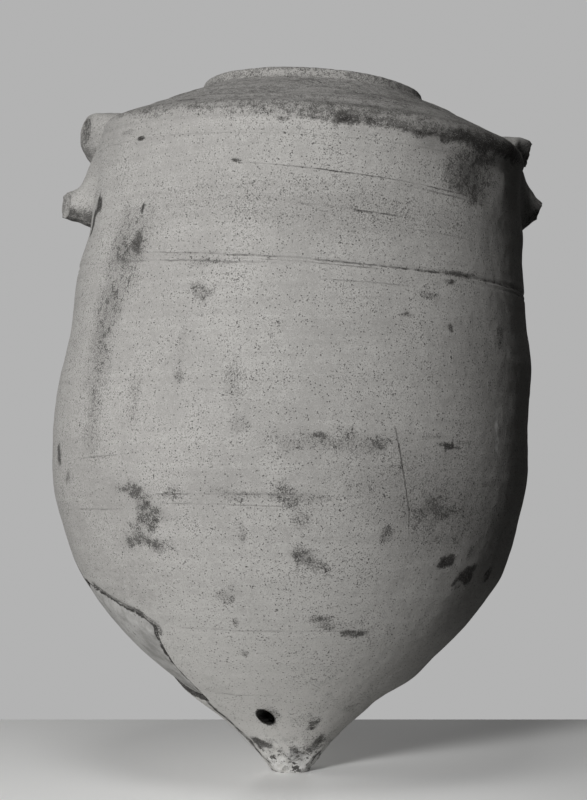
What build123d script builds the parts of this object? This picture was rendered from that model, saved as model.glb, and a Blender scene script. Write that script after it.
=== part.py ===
from build123d import *

import os
from math import cos, radians, sin, tan

# Driving dimensions of the storage jar, in millimetres and degrees.
# The front is towards -Y, and directions around the jar turn from +X towards +Y.

# The wall is built in sections, whose joint faces rise towards the inside.
WALL_THICKNESS = 22
JOINT_SLOPE = 30

# Lower body, upright: the height of each section and the outer diameter at its top.
FOOT_DIAMETER = 54
FOOT_HEIGHT = 45
FOOT_TOP_DIAMETER = 124
DRAIN_RING_HEIGHT = 82
DRAIN_RING_TOP_DIAMETER = 317
CONE_RING_HEIGHT = 100
CONE_RING_TOP_DIAMETER = 532.5
HAUNCH_RING_HEIGHT = 85
HAUNCH_RING_TOP_DIAMETER = 635
LOWER_BELLY_RING_HEIGHT = 93
LOWER_BELLY_RING_TOP_DIAMETER = 685.5
UPPER_BELLY_RING_HEIGHT = 55
BELLY_DIAMETER = 698

# Upper body, which leans to the right from the belly joint up, measured along its own axis.
LEAN = 3.4
FIRST_WALL_RING_HEIGHT = 125
FIRST_WALL_RING_TOP_DIAMETER = 685
SECOND_WALL_RING_HEIGHT = 127
SECOND_WALL_RING_TOP_DIAMETER = 658
THIRD_WALL_RING_HEIGHT = 114
THIRD_WALL_RING_TOP_DIAMETER = 633.5
TOP_WALL_RING_HEIGHT = 70
TOP_WALL_RING_TOP_DIAMETER = 628

# Shoulder: a shallow dome whose rounded edge overhangs the wall.
SHOULDER_OVERHANG = 4
SHOULDER_RISE = 100
SHOULDER_SLOPE = 24.6
SHOULDER_EDGE_RADIUS = 24

# Rim: an everted lip on a neck, seated in the shoulder like a plug.
NECK_DIAMETER = 304
RIM_HEIGHT = 9
RIM_OVERHANG = 10
RIM_UNDERCUT = 3
RIM_ROUNDING = 2.5
RIM_SEAT_TAPER = 8
MOUTH_DIAMETER = 276

# Drain hole: level, low on the front left of the jar, at a rise above the foot's joint.
DRAIN_DIAMETER = 25
DRAIN_RISE = 47
DRAIN_DIRECTION = 251

# Broken handle roots: (tall, wide) ovals that start inside the wall and taper to the break.
HANDLE_DIRECTION = 8
ROOT_NECK_REACH = 14
UPPER_ROOT_SET = 46
UPPER_ROOT_SINK = 2
LEFT_UPPER_ROOT_RISE = 31
LEFT_UPPER_ROOT_REACH = 27
RIGHT_UPPER_ROOT_RISE = 40
RIGHT_UPPER_ROOT_REACH = 19
UPPER_ROOT_BASE = (20, 52)
UPPER_ROOT_NECK = (50, 52)
UPPER_ROOT_END = (44, 44)
LEFT_LOWER_ROOT_DROP = 81
LEFT_LOWER_ROOT_REACH = 48
RIGHT_LOWER_ROOT_DROP = 46
RIGHT_LOWER_ROOT_REACH = 41
LOWER_ROOT_FLARE = 10
LOWER_ROOT_BASE = (88, 84)
LOWER_ROOT_NECK = (60, 54)
LOWER_ROOT_END = (34, 44)

# Filled break on the lower left: its outline, seen square to the wall, towards the front and up.
PATCH_DIRECTION = 196
PATCH_RISE = 60
PATCH_OUTLINE = (
    (33, 106),
    (87, 73),
    (115, 52),
    (123, 31),
    (96, -5),
    (75, -35),
    (61, -68),
    (43, -112),
    (-10, -100),
    (-50, -78),
    (-85, -35),
    (-98, 20),
    (-85, 75),
    (-45, 112),
    (0, 122),
)
PATCH_RECESS = 4
PATCH_JOINT = 0.3

# Heights of the joints along the jar's axis, which bends at the belly joint.
drain_joint = FOOT_HEIGHT + DRAIN_RING_HEIGHT
cone_joint = drain_joint + CONE_RING_HEIGHT
haunch_joint = cone_joint + HAUNCH_RING_HEIGHT
belly_middle_joint = haunch_joint + LOWER_BELLY_RING_HEIGHT
belly_joint = belly_middle_joint + UPPER_BELLY_RING_HEIGHT
first_joint = belly_joint + FIRST_WALL_RING_HEIGHT
second_joint = first_joint + SECOND_WALL_RING_HEIGHT
third_joint = second_joint + THIRD_WALL_RING_HEIGHT
shoulder_joint = third_joint + TOP_WALL_RING_HEIGHT
neck_height = shoulder_joint + SHOULDER_RISE
lip_height = neck_height + RIM_HEIGHT

# Places on the outline, as (radius, height): the edge of the foot and the outer edge of each joint.
foot_edge = (FOOT_DIAMETER / 2, 0)
foot_top = (FOOT_TOP_DIAMETER / 2, FOOT_HEIGHT)
drain_ring_top = (DRAIN_RING_TOP_DIAMETER / 2, drain_joint)
cone_ring_top = (CONE_RING_TOP_DIAMETER / 2, cone_joint)
haunch_ring_top = (HAUNCH_RING_TOP_DIAMETER / 2, haunch_joint)
lower_belly_ring_top = (LOWER_BELLY_RING_TOP_DIAMETER / 2, belly_middle_joint)
belly_top = (BELLY_DIAMETER / 2, belly_joint)
first_ring_top = (FIRST_WALL_RING_TOP_DIAMETER / 2, first_joint)
second_ring_top = (SECOND_WALL_RING_TOP_DIAMETER / 2, second_joint)
third_ring_top = (THIRD_WALL_RING_TOP_DIAMETER / 2, third_joint)
wall_top = (TOP_WALL_RING_TOP_DIAMETER / 2, shoulder_joint)
shoulder_edge = (wall_top[0] + SHOULDER_OVERHANG, shoulder_joint)
neck_edge = (NECK_DIAMETER / 2, neck_height)
mouth_radius = MOUTH_DIAMETER / 2
body_edges = (
    foot_edge,
    foot_top,
    drain_ring_top,
    cone_ring_top,
    haunch_ring_top,
    lower_belly_ring_top,
    belly_top,
    first_ring_top,
    second_ring_top,
    third_ring_top,
    wall_top,
)

# A length past the whole jar, where cutting outlines end.
clear = lip_height + BELLY_DIAMETER

# The lower body stands on the upright axis. Above the belly joint the axis leans towards +X.
lean = radians(LEAN)
lean_direction = Vector(sin(lean), 0, cos(lean))
lean_foot = Vector(0, 0, belly_joint) - lean_direction * belly_joint
upright_section = Plane.XZ
lean_frame = Plane(lean_foot, (cos(lean), 0, -sin(lean)), lean_direction)
lean_section = Plane(lean_foot, lean_frame.x_dir, (0, -1, 0))
lean_axis = Axis(lean_foot, lean_direction)


def joint_line(edge):
    """Joint face from its outer edge up through the wall, then level to the axis, and out past the jar."""
    slope = tan(radians(JOINT_SLOPE))
    inner_height = edge[1] + WALL_THICKNESS * slope
    outer_height = edge[1] - (clear - edge[0]) * slope
    return (clear, outer_height), (edge[0] - WALL_THICKNESS, inner_height), (0, inner_height)


def above_joint(edge):
    """Corners of the region above a joint face."""
    return *joint_line(edge), (0, 2 * clear), (clear, 2 * clear)


def below_joint(edge):
    """Corners of the region below a joint face."""
    return *joint_line(edge), (0, -clear), (clear, -clear)


def body_outline(depth):
    """Smooth line from the foot to the top of the wall, on its outside or at a depth inside it."""
    guide = Spline(*body_edges, mode=Mode.PRIVATE)
    inwards = [guide.tangent_at(edge).rotate(Axis.Z, 90) for edge in body_edges]
    return Spline(*[Vector(edge) + inward * depth for edge, inward in zip(body_edges, inwards)])


def body_wall(outer_depth):
    """Section of the body's wall, carried on upwards past the shoulder joint."""
    carry = Vector(0, 2 * WALL_THICKNESS)
    outside = body_outline(outer_depth)
    inside = body_outline(WALL_THICKNESS)
    Line(outside @ 0, inside @ 0)
    Polyline(outside @ 1, outside @ 1 + carry, inside @ 1 + carry, inside @ 1)


def shoulder_outline():
    """Outside of the shoulder, from below its edge, round the dome and on past the neck."""
    rise = tan(radians(SHOULDER_SLOPE))
    carry = 2 * WALL_THICKNESS
    FilletPolyline(
        (shoulder_edge[0], shoulder_joint - carry),
        (shoulder_edge[0], neck_height - (shoulder_edge[0] - neck_edge[0]) * rise),
        (neck_edge[0] - carry, neck_height + carry * rise),
        radius=SHOULDER_EDGE_RADIUS,
    )


# Filled break: a plane square to the wall at its middle, and the hole broken through the wall there.
patch_out = Vector(1, 0, 0).rotate(Axis.Z, PATCH_DIRECTION)
patch_around = Vector(0, 1, 0).rotate(Axis.Z, PATCH_DIRECTION)
wall_spread = cone_ring_top[0] - drain_ring_top[0]
patch_radius = drain_ring_top[0] + wall_spread * PATCH_RISE / CONE_RING_HEIGHT
patch_centre = patch_out * patch_radius + Vector(0, 0, drain_joint + PATCH_RISE)
patch_normal = patch_out * CONE_RING_HEIGHT - Vector(0, 0, wall_spread)
patch_plane = Plane(patch_centre, patch_around, patch_normal)
patch_margin = 2 * WALL_THICKNESS
patch_depth = 3 * patch_margin

with BuildPart() as patch_hole:
    with BuildSketch(patch_plane.offset(patch_margin)):
        Polygon(*PATCH_OUTLINE)
    extrude(amount=-patch_depth)

with BuildPart() as patch_core:
    with BuildSketch(patch_plane.offset(patch_margin)):
        Polygon(*PATCH_OUTLINE)
        offset(amount=-PATCH_JOINT, kind=Kind.INTERSECTION)
    extrude(amount=-patch_depth)

pieces = []

# Foot: a solid knob whose top is the floor of the jar and the seat of the first cone section.
with BuildPart() as foot_knob:
    with BuildSketch(upright_section):
        with BuildLine():
            body_outline(0)
            Polyline(wall_top, (0, shoulder_joint), (0, 0), foot_edge)
        make_face()
        Polygon(*below_joint(foot_top), mode=Mode.INTERSECT)
    revolve(axis=Axis.Z)
foot_knob.part.label = "foot_knob"
pieces.append(foot_knob.part)

# The upright sections, with the break through them. The last ends level at the belly joint.
lower_rings = (
    ("drain_ring", foot_top, drain_ring_top),
    ("cone_ring", drain_ring_top, cone_ring_top),
    ("haunch_ring", cone_ring_top, haunch_ring_top),
    ("lower_belly_ring", haunch_ring_top, lower_belly_ring_top),
    ("upper_belly_ring", lower_belly_ring_top, first_ring_top),
)
drain_plane = Plane((0, 0, FOOT_HEIGHT + DRAIN_RISE), z_dir=Vector(1, 0, 0).rotate(Axis.Z, DRAIN_DIRECTION))
for name, bottom, top in lower_rings:
    with BuildPart() as ring:
        with BuildSketch(upright_section):
            with BuildLine():
                body_wall(0)
            make_face()
            Polygon(*above_joint(bottom), mode=Mode.INTERSECT)
            Polygon(*below_joint(top), mode=Mode.INTERSECT)
            Polygon((0, 0), (clear, 0), (clear, belly_joint), (0, belly_joint), mode=Mode.INTERSECT)
        revolve(axis=Axis.Z)
        add(patch_hole.part, mode=Mode.SUBTRACT)
        if name == "drain_ring":
            with BuildSketch(drain_plane):
                Circle(DRAIN_DIAMETER / 2)
            extrude(amount=clear, mode=Mode.SUBTRACT)
    ring.part.label = name
    pieces.append(ring.part)

# The leaning sections. The first starts level at the belly joint.
upper_rings = (
    ("first_wall_ring", lower_belly_ring_top, first_ring_top),
    ("second_wall_ring", first_ring_top, second_ring_top),
    ("third_wall_ring", second_ring_top, third_ring_top),
    ("top_wall_ring", third_ring_top, shoulder_edge),
)
leaning_pieces = []
for name, bottom, top in upper_rings:
    with BuildPart() as ring:
        with BuildSketch(lean_section):
            with BuildLine():
                body_wall(0)
            make_face()
            Polygon(*above_joint(bottom), mode=Mode.INTERSECT)
            Polygon(*below_joint(top), mode=Mode.INTERSECT)
        revolve(axis=lean_axis)
        split(bisect_by=Plane.XY.offset(belly_joint), keep=Keep.TOP)
    ring.part.label = name
    leaning_pieces.append(ring.part)

# Shoulder: the dome, cut out at the middle to the conical seat of the rim.
seat_depth = WALL_THICKNESS / cos(radians(SHOULDER_SLOPE))
seat_bottom = neck_height - seat_depth
seat_bottom_radius = neck_edge[0] - RIM_SEAT_TAPER
with BuildPart() as shoulder:
    with BuildSketch(lean_section):
        with BuildLine():
            shoulder_outline()
            offset(amount=WALL_THICKNESS, side=Side.LEFT)
        make_face()
        Polygon(*above_joint(shoulder_edge), mode=Mode.INTERSECT)
        Polygon(
            (0, seat_bottom - seat_depth),
            (seat_bottom_radius - RIM_SEAT_TAPER, seat_bottom - seat_depth),
            (neck_edge[0] + RIM_SEAT_TAPER, neck_height + seat_depth),
            (0, neck_height + seat_depth),
            mode=Mode.SUBTRACT,
        )
    revolve(axis=lean_axis)
shoulder.part.label = "shoulder"
leaning_pieces.append(shoulder.part)

# Rim: a plug with the round mouth through it and a rounded lip that overhangs the neck.
lip_radius = neck_edge[0] + RIM_OVERHANG
with BuildPart() as rim:
    with BuildSketch(lean_section) as rim_section:
        Polygon(
            (mouth_radius, seat_bottom),
            (seat_bottom_radius, seat_bottom),
            neck_edge,
            (lip_radius, neck_height + RIM_UNDERCUT),
            (lip_radius, lip_height),
            (mouth_radius, lip_height),
        )
        fillet(rim_section.vertices().sort_by(Axis.Y)[-3:], radius=RIM_ROUNDING)
    revolve(axis=lean_axis)
rim.part.label = "rim"
leaning_pieces.append(rim.part)

# Handle roots: flared stubs left on the wall and shoulder where the two loop handles broke off.
root_start = wall_top[0] - WALL_THICKNESS / 2
root_neck = wall_top[0] + ROOT_NECK_REACH


def dome_height(radius):
    """Height of the dome's outside at a radius."""
    return neck_height - (radius - neck_edge[0]) * tan(radians(SHOULDER_SLOPE))


def upper_root(rise, reach):
    """Stations of a root that starts in the dome and passes over its edge, as (radius, height, oval)."""
    start = shoulder_edge[0] - UPPER_ROOT_SET
    base = dome_height(start) - UPPER_ROOT_SINK
    height = shoulder_joint + rise
    end = wall_top[0] + reach
    return (start, base, UPPER_ROOT_BASE), (root_neck, height, UPPER_ROOT_NECK), (end, height, UPPER_ROOT_END)


def lower_root(drop, reach):
    """Stations of a root on the wall, which flares upwards at its base."""
    height = shoulder_joint - drop
    base = height + LOWER_ROOT_FLARE
    neck = height + LOWER_ROOT_FLARE / 4
    end = wall_top[0] + reach
    return (root_start, base, LOWER_ROOT_BASE), (root_neck, neck, LOWER_ROOT_NECK), (end, height, LOWER_ROOT_END)


left_upper_root = upper_root(LEFT_UPPER_ROOT_RISE, LEFT_UPPER_ROOT_REACH)
left_lower_root = lower_root(LEFT_LOWER_ROOT_DROP, LEFT_LOWER_ROOT_REACH)
right_upper_root = upper_root(RIGHT_UPPER_ROOT_RISE, RIGHT_UPPER_ROOT_REACH)
right_lower_root = lower_root(RIGHT_LOWER_ROOT_DROP, RIGHT_LOWER_ROOT_REACH)
roots = (
    ("left_handle_upper_root", 180 + HANDLE_DIRECTION, left_upper_root),
    ("left_handle_lower_root", 180 + HANDLE_DIRECTION, left_lower_root),
    ("right_handle_upper_root", HANDLE_DIRECTION, right_upper_root),
    ("right_handle_lower_root", HANDLE_DIRECTION, right_lower_root),
)
pieces.extend(leaning_pieces)
for name, direction, stations in roots:
    with BuildPart() as root:
        for reach, height, (tall, wide) in stations:
            turned = lean_frame.location * Location((0, 0, height), (0, 0, direction))
            with BuildSketch(Plane(turned * Location((reach, 0, 0), (0, 90, 0)))):
                Ellipse(tall / 2, wide / 2)
        loft()
        add(leaning_pieces, mode=Mode.SUBTRACT)
    root.part.label = name
    pieces.append(root.part)

# Filled break: the wall again where it broke, a little below the old surface.
with BuildPart() as restored_patch:
    with BuildSketch(upright_section):
        with BuildLine():
            body_wall(PATCH_RECESS)
        make_face()
    revolve(axis=Axis.Z)
    add(patch_core.part, mode=Mode.INTERSECT)
restored_patch.part.label = "restored_patch"
pieces.append(restored_patch.part)

os.makedirs("parts", exist_ok=True)
for piece in pieces:
    export_step(piece, f"parts/{piece.label}.step")
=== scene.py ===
from math import atan2, cos, degrees, hypot, pi, radians, sin, tan

import bmesh
import bpy
from mathutils import Matrix, Vector, noise
from mathutils.geometry import interpolate_bezier


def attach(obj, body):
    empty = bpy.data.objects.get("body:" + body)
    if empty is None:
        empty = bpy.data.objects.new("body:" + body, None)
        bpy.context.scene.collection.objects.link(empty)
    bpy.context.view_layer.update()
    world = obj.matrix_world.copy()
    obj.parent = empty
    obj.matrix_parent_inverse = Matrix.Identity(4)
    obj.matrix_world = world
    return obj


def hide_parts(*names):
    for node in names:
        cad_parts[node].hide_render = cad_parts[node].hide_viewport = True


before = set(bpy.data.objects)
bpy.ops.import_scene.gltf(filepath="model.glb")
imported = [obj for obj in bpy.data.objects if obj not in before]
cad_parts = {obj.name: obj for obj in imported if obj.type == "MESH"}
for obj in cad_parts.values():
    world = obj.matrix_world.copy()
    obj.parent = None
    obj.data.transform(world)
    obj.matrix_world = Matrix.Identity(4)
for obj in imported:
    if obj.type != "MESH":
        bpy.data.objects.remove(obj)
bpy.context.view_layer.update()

# Viewpoint: an upright view with a long lens, from just below the middle of the jar,
# tipped up a little so that the mouth stays in the picture.
CAMERA_PLACE = (0.0034, -2.604, 0.437)
CAMERA_RISE = 2.35
LENS = 79.2
SENSOR = 36
camera = bpy.data.objects.new("camera", bpy.data.cameras.new("camera"))
camera.data.lens = LENS
camera.data.sensor_width = SENSOR
camera.location = CAMERA_PLACE
camera.rotation_euler = (radians(90 + CAMERA_RISE), 0, 0)
bpy.context.scene.collection.objects.link(camera)
bpy.context.scene.camera = camera
bpy.context.scene.view_settings.view_transform = "Standard"


# Foot knob: the solid bottom of the jar, a lump of coarse fired clay pinched to a blunt point.
# It was made first, and the first ring was luted on it.
# It is chipped, pitted and crusted with lime.
MM = 0.001
WALL = 22
JOINT_SLOPE = 30
COARSE_STEPS = 72
FINE_CUTS = 9
MERGED = 0.01 * MM
LEVEL = 0.001 * MM
NOISE_SEED = 1
noise.seed_set(NOISE_SEED)

# The upper body leans about the belly. The lean sets in between two heights, in metres.
LEAN = radians(3.4)
BELLY = 0.460
LEAN_START = 0.400
LEAN_FULL = 0.650

# A place on the outside is a radius, a height and a tilt from upright, in millimetres and degrees.
FOOT_EDGE = (27, 0, 35.96)
FOOT_TOP = (62, 45, 41.75)

# The two rope grooves: height, sway, half width and depth. Then the scored ledge, which drops
# to the right, and where the undercut, the dome and the rough foot begin, in metres.
ROPE_GROOVES = ((714, 1.2, 4.5, 1.4), (706.5, 1.5, 4, 0.8))
LEDGE_HEIGHT = 839.5
LEDGE_DROP = 0.246
LEDGE_LEFT = -17
LEDGE_MIDDLE = 17
LEDGE_HALF = 44
LEDGE_FADE = 40
UNDERCUT = 0.8955
DOME_ALONG = 0.925
ROUGH_FOOT = 0.075

# The wall is more even at its left and right sides: the turn of a side and half its width.
SIDE_TURN = 85
SIDE_HALF = 25

# Swells and hollows left by the potter's hands and by the later breaks: turn from the front,
# height along the jar, half width, half height and push, in degrees and millimetres.
SWELLS = (
    (-85, 26, 90, 28, 1.5),
    (-85, 55, 110, 35, 2.5),
    (-85, 100, 140, 55, 4.5),
    (-85, 130, 140, 40, 2),
    (85, 107, 60, 20, -3),
    (85, 141, 90, 30, 4.3),
    (85, 285, 180, 36, 2.4),
    (85, 366, 200, 45, -2),
    (-85, 417, 200, 70, 3),
    (85, 495, 200, 70, -3.3),
    (85, 608, 200, 70, 5),
    (-85, 620, 200, 85, -4.4),
    (-85, 770, 150, 55, -6),
    (85, 800, 120, 40, 3.5),
    (-43.6, 736, 12, 24, -3.2),
    (-38, 742, 12, 24, 1.2),
    (36, 884, 80, 17, -4.5),
    (62, 885, 90, 20, -5),
    (34, 910, 80, 14, 3.5),
    (60, 911, 100, 16, 5),
    (50, 860, 66, 50, -6),
    (-77, 915, 66, 32, -5),
    (88, 1030, 18, 14, 3.5),
    (80, 1045, 80, 60, 6),
    (-80, 1000, 90, 60, -4),
)


def smooth(share):
    """Soft step from 0 to 1."""
    share = min(1, max(0, share))
    return share * share * (3 - 2 * share)


def turn_between(turn, other):
    """Shortest way round the jar from one direction to another."""
    return (turn - other + pi) % (2 * pi) - pi


def spots(listed, turn, along, radius, firm=1, sway=Vector((0, 0, 0))):
    """Sum of listed spots at one place on the wall, soft or with firmer edges, even or swayed."""
    total = 0
    for middle, height, half_width, half_height, strength in listed:
        share = min(half_width, half_height, 20) / 15
        up = (along - height * MM + sway.y * share) / (half_height * MM)
        if -1 < up < 1:
            around = turn_between(turn, radians(middle)) * radius + sway.x * share
            around /= half_width * MM
            if -1 < around < 1:
                total += strength * smooth(firm * (1 - hypot(up, around)))
    return total


def scored(along, height, half, depth):
    """A groove round the wall."""
    return -depth * smooth(1 - abs(along - height * MM) / (half * MM))


def unevenness(co, turn, along):
    """How far the outside stands out from the even wall, in metres."""
    radius = hypot(co.x, co.y)
    edge_on = smooth(1.6 - abs(abs(turn) - radians(SIDE_TURN)) / radians(SIDE_HALF))
    push = MM * spots(SWELLS, turn, along, radius)
    push += 1.7 * MM * noise.noise(co * 5.5) * (1 - edge_on)
    push += 0.5 * MM * noise.noise(co * 17)
    push += 0.5 * MM * noise.noise(Vector((co.x * 7, co.y * 7, along * 55)))
    push += 0.35 * MM * noise.noise(co * 60)
    band = noise.noise(Vector((co.x * 9, co.y * 9, 3)))
    for height, sway, half, depth in ROPE_GROOVES:
        push += MM * scored(along, height + sway * band, half, depth)
    turned = degrees(turn)
    ledge = (LEDGE_HEIGHT - LEDGE_DROP * (turned - LEDGE_LEFT) + 1.5 * band) * MM
    above = along - ledge
    off_middle = abs(turned - LEDGE_MIDDLE)
    if off_middle < LEDGE_HALF and ledge - 6 * MM < along < ledge + LEDGE_FADE * MM:
        step = smooth(above / (3.5 * MM)) * (1 - smooth(above / (LEDGE_FADE * MM)))
        push -= 2.2 * MM * step * smooth(2.4 - off_middle / 16)
    if along > UNDERCUT:
        overhang = smooth((turned - 12) / 20) * (1 - smooth((turned - 120) / 30))
        undercut = smooth((along - UNDERCUT) / 0.006) * (1 - smooth((along - 0.906) / 0.024))
        push -= 2.6 * MM * (1 - overhang) * undercut
    dome = smooth((along - DOME_ALONG) / 0.03)
    push += dome * 1.1 * MM * noise.noise(Vector((co.x * 11, co.y * 11, along * 70)))
    push += dome * 0.8 * MM * noise.noise(co * 48)
    low = smooth(1 - along / ROUGH_FOOT)
    push += low * 2.6 * MM * noise.noise(co * 50)
    push += low * 1.3 * MM * noise.noise(co * 130)
    return push


def leaned(co):
    """Where a place on the upright jar goes when its upper body leans to the right."""
    angle = LEAN * smooth((co.z - LEAN_START) / (LEAN_FULL - LEAN_START))
    rise = co.z - BELLY
    across = co.x * cos(angle) + rise * sin(angle)
    return Vector((across, co.y, BELLY + rise * cos(angle) - co.x * sin(angle)))


def upwards(tilt):
    """Direction along the wall, as (radius, height), at a tilt from upright."""
    return Vector((sin(radians(tilt)), cos(radians(tilt))))


def outwards(tilt):
    """Direction square to the wall, as (radius, height)."""
    return Vector((cos(radians(tilt)), -sin(radians(tilt))))


def smooth_line(bottom, top, spacing):
    """Smooth line between two (radius, height, tilt) places, in rows a spacing apart."""
    start, end = Vector(bottom[:2]), Vector(top[:2])
    handle = (end - start).length / 3
    rows = round((end - start).length / spacing) + 1
    return interpolate_bezier(
        start, start + upwards(bottom[2]) * handle, end - upwards(top[2]) * handle, end, rows
    )


def inside_of(place):
    """Inner end of a joint face, which rises towards the inside."""
    radius, height, tilt = place
    slide = WALL * tan(radians(JOINT_SLOPE - tilt))
    inner = Vector((radius, height)) - outwards(tilt) * WALL + upwards(tilt) * slide
    return inner.x, inner.y, tilt


def facing(line, first_tilt, last_tilt):
    """Outward direction at each place of a line that runs upwards."""
    ways = [outwards(first_tilt)]
    for before, after in zip(line, line[2:]):
        way = (after - before).normalized()
        ways.append(Vector((way.y, -way.x)))
    return ways + [outwards(last_tilt)]


THROWN_LAYERS = ("along", "skin", "stain_and_shade", "radius", "out", "up")


def thrown(outside, ways, others, closed=True, by_length=False):
    """Turns a section on the wheel, in millimetres: the worn outside, then the plain rest."""
    bm = bmesh.new()
    layers = {name: bm.verts.layers.float.new(name) for name in THROWN_LAYERS}
    profile = []
    height = outside[0].y
    before = outside[0]
    for place, way in zip(outside, ways):
        height += (place - before).length if by_length else place.y - before.y
        before = place
        vert = bm.verts.new((0, place.x * MM, place.y * MM))
        vert[layers["along"]] = height * MM
        vert[layers["skin"]] = 1
        vert[layers["out"]] = way.x
        vert[layers["up"]] = way.y
        vert[layers["radius"]] = place.x * MM
        profile.append(vert)
    for place in others:
        vert = bm.verts.new((0, place.x * MM, place.y * MM))
        vert[layers["along"]] = place.y * MM
        vert[layers["radius"]] = place.x * MM
        profile.append(vert)
    ends = profile[1:] + profile[:1] if closed else profile[1:]
    edges = [bm.edges.new(pair) for pair in zip(profile, ends)]
    bmesh.ops.spin(
        bm,
        geom=profile + edges,
        cent=(0, 0, 0),
        axis=(0, 0, 1),
        dvec=(0, 0, 0),
        angle=2 * pi,
        steps=COARSE_STEPS,
        use_merge=True,
    )
    bmesh.ops.remove_doubles(bm, verts=bm.verts, dist=MERGED)
    hoops = [
        edge
        for edge in bm.edges
        if abs(edge.verts[0].co.z - edge.verts[1].co.z) < LEVEL
        and abs(edge.verts[0][layers["radius"]] - edge.verts[1][layers["radius"]]) < LEVEL
    ]
    bmesh.ops.subdivide_edges(bm, edges=hoops, cuts=FINE_CUTS, use_grid_fill=True)
    for vert in bm.verts:
        reach = hypot(vert.co.x, vert.co.y)
        if reach > MERGED:
            vert.co.xy = vert.co.xy * (vert[layers["radius"]] / reach)
    bmesh.ops.recalc_face_normals(bm, faces=bm.faces)
    return bm, layers


# Stains and soot on the outside, and lime where the strength is below zero: turn from the front,
# height along the jar, half width, half height and strength, in degrees and millimetres. A few of
# them are painted shade, marked below.
STAINS = (
    (-46, 745, 72, 60, 0.46),
    (-48, 690, 64, 70, 0.44),
    (-51, 632, 48, 70, 0.44),
    (-51, 567, 46, 80, 0.4),
    (-50, 492, 30, 64, 0.36),
    (-43.6, 736, 11, 24, 1),
    (-37, 527, 16, 52, 0.34),
    (-26, 590, 14, 62, 0.3),
    (-25.4, 559, 19, 11, 0.55),
    (-13, 549, 22, 38, 0.36),
    (-11, 496, 19, 15, 0.4),
    (-23.4, 668, 28, 15, 0.7),
    (-22, 705, 48, 9, 0.5),
    (-69, 456, 17, 22, 1.3),
    (-63.5, 429, 20, 13, 0.6),
    (-42, 413, 22, 12, 0.45),
    (-37.5, 414, 28, 15, 0.9),
    (-34.5, 402, 28, 18, 0.7),
    (-33.5, 382, 34, 22, 0.8),
    (-36.5, 366, 34, 16, 0.6),
    (-38.5, 346, 36, 15, 0.95),
    (-31.5, 343, 32, 14, 0.95),
    (-27, 407, 28, 11, 0.55),
    (-12.5, 409, 44, 15, 0.5),
    (-2, 407, 36, 20, 0.5),
    (3.7, 402, 48, 18, 0.4),
    (1.6, 374, 18, 22, 0.5),
    (-11, 359, 8, 28, 0.4),
    (8, 477, 118, 22, 0.5),
    (19, 478, 18, 18, 0.6),
    (6, 486, 15, 7, 0.7),
    (36.7, 474, 10, 9, 2.8),
    (34.6, 475.5, 13, 3.5, 0.8),
    (39, 471.5, 12, 4, 0.7),
    (37.4, 481, 4, 8, 0.7),
    (35.6, 466, 4, 7, 0.6),
    (32, 487, 26, 5, 0.5),
    (41, 480, 26, 5, 0.5),
    (34, 388, 50, 22, 0.4),
    (28, 424, 150, 70, 0.34),
    (38, 366, 130, 64, 0.4),
    (0, 785, 330, 52, 0.32),
    (22, 358, 13, 13, 0.8),
    (3, 326, 27, 25, 0.9),
    (6.5, 315, 15, 15, 0.6),
    (41, 316, 17, 16, 2.4),
    (49.7, 297, 28, 19, 1.8),
    (62, 295, 15, 13, 1),
    (48.5, 333, 9, 12, 0.7),
    (7.9, 244, 24, 8, 0.85),
    (10, 234, 22, 8, 0.75),
    (18.7, 223, 30, 9, 1.1),
    (-16.8, 275, 21, 13, 0.65),
    (-15.3, 238, 7, 11, 0.85),
    (-15.3, 196, 8, 8, 0.85),
    (18, 78, 15, 16, 1.1),
    (8, 30, 24, 16, 1.7),
    (37, 49, 20, 16, 1.4),
    (41, 102, 22, 8, 0.5),
    (-42, 50, 24, 11, 1.7),
    (-15, 92, 26, 22, 0.7),
    (-47, 879, 11, 3.5, 2.8),
    (-17.8, 843, 9, 3, 1.8),
    (-53.7, 893, 26, 5, 0.6),
    (-43.4, 783, 4.5, 9, 2.8),
    # These three are painted shadow in the gap under the left lower handle root.
    (-67, 796, 15, 14, 2.8),
    (-70, 782, 15, 16, 2.8),
    (-72, 767, 11, 16, 2.6),
    (8.3, 904, 22, 14, 1.9),
    (14, 907, 24, 10, 0.7),
    (21, 905, 22, 11, 0.7),
    (28, 899, 34, 9, 1.1),
    # These four are painted shadow under the shoulder's overhang on the right.
    (38, 903, 50, 13, 1.2),
    (47, 906, 60, 17, 1.3),
    (58, 905, 60, 18, 1.3),
    (68, 903, 50, 16, 1.3),
    (-6.8, 898, 16, 5, 0.9),
    (-34.7, 948, 30, 7, 1),
    (-30, 918, 22, 5, 0.9),
    # These three are the dark scar between the right handle roots: partly darker clay, partly
    # painted shade of its hollow.
    (39.5, 858, 34, 44, 0.75),
    (50, 858, 60, 54, 0.72),
    (44, 830, 48, 22, 0.65),
    # Painted shadow under the shoulder's overhang on the right.
    (50, 886, 66, 20, 0.5),
    (40, 714.5, 44, 6, 1.2),
    (37, 703, 15, 6, 1),
    (30.6, 684, 28, 8, 0.6),
    (25, 652, 13, 6, 1),
    (55.5, 639, 11, 26, 0.7),
    (36.5, 641, 8, 9, 1.3),
    (-84, 318, 36, 42, 0.9),
    (-80, 285, 26, 32, 0.9),
    (53.3, 497, 9, 64, -0.6),
    (48, 146, 34, 24, -0.5),
    (-30, 350, 14, 30, -0.4),
)


def stained_and_shaded(co, turn, along, radius):
    """How stained the outside is, with the painted shade that the stain list holds. The stains
    have spread unevenly in the clay.
    """
    sway = noise.noise_vector(co * 42) * 9 * MM + noise.noise_vector(co * 110) * 5 * MM
    return spots(STAINS, turn, along, radius, 1.4, sway)


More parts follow.
